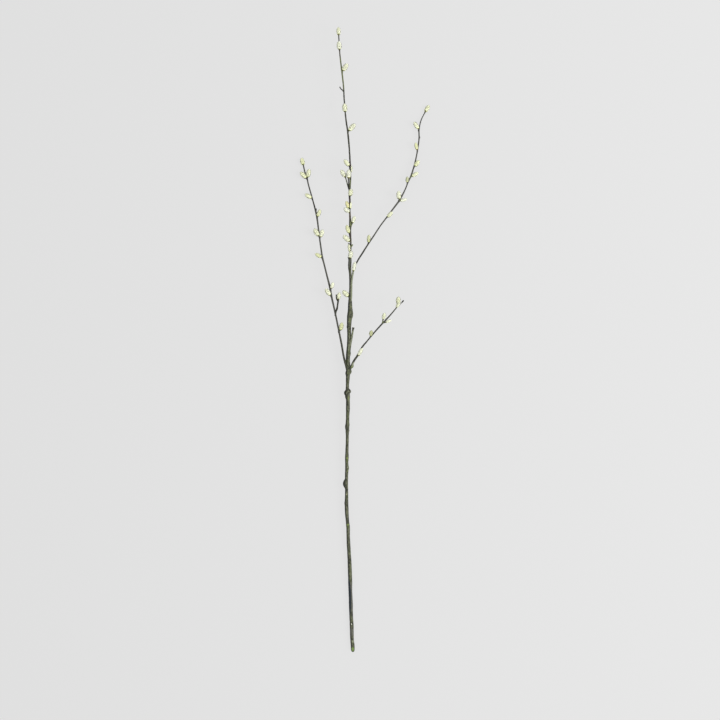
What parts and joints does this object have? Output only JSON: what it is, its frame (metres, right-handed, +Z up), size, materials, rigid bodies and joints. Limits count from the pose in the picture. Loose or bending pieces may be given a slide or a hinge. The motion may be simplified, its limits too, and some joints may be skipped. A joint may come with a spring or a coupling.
{
  "type": "willow twig",
  "caption": "Cut pussy willow twig with furry catkins on its leader, side branches and spurs; it lies on a surface or is arranged in a vase.",
  "frame": {"origin": "middle of the twig's bounding box, on the surface that it lies on", "axes": "+Y along the twig from its cut foot to its tip, +Z up from the surface, +X to the side of the long right branch"},
  "size_m": [0.2087, 0.9988, 0.0408],
  "materials": {
    "bark": "satin",
    "catkin_fur": "matte",
    "bud_scale": "satin",
    "cut_wood": "matte"
  },
  "bodies": {
    "root": {"willow_twig": "bark"}
  },
  "joints": []
}
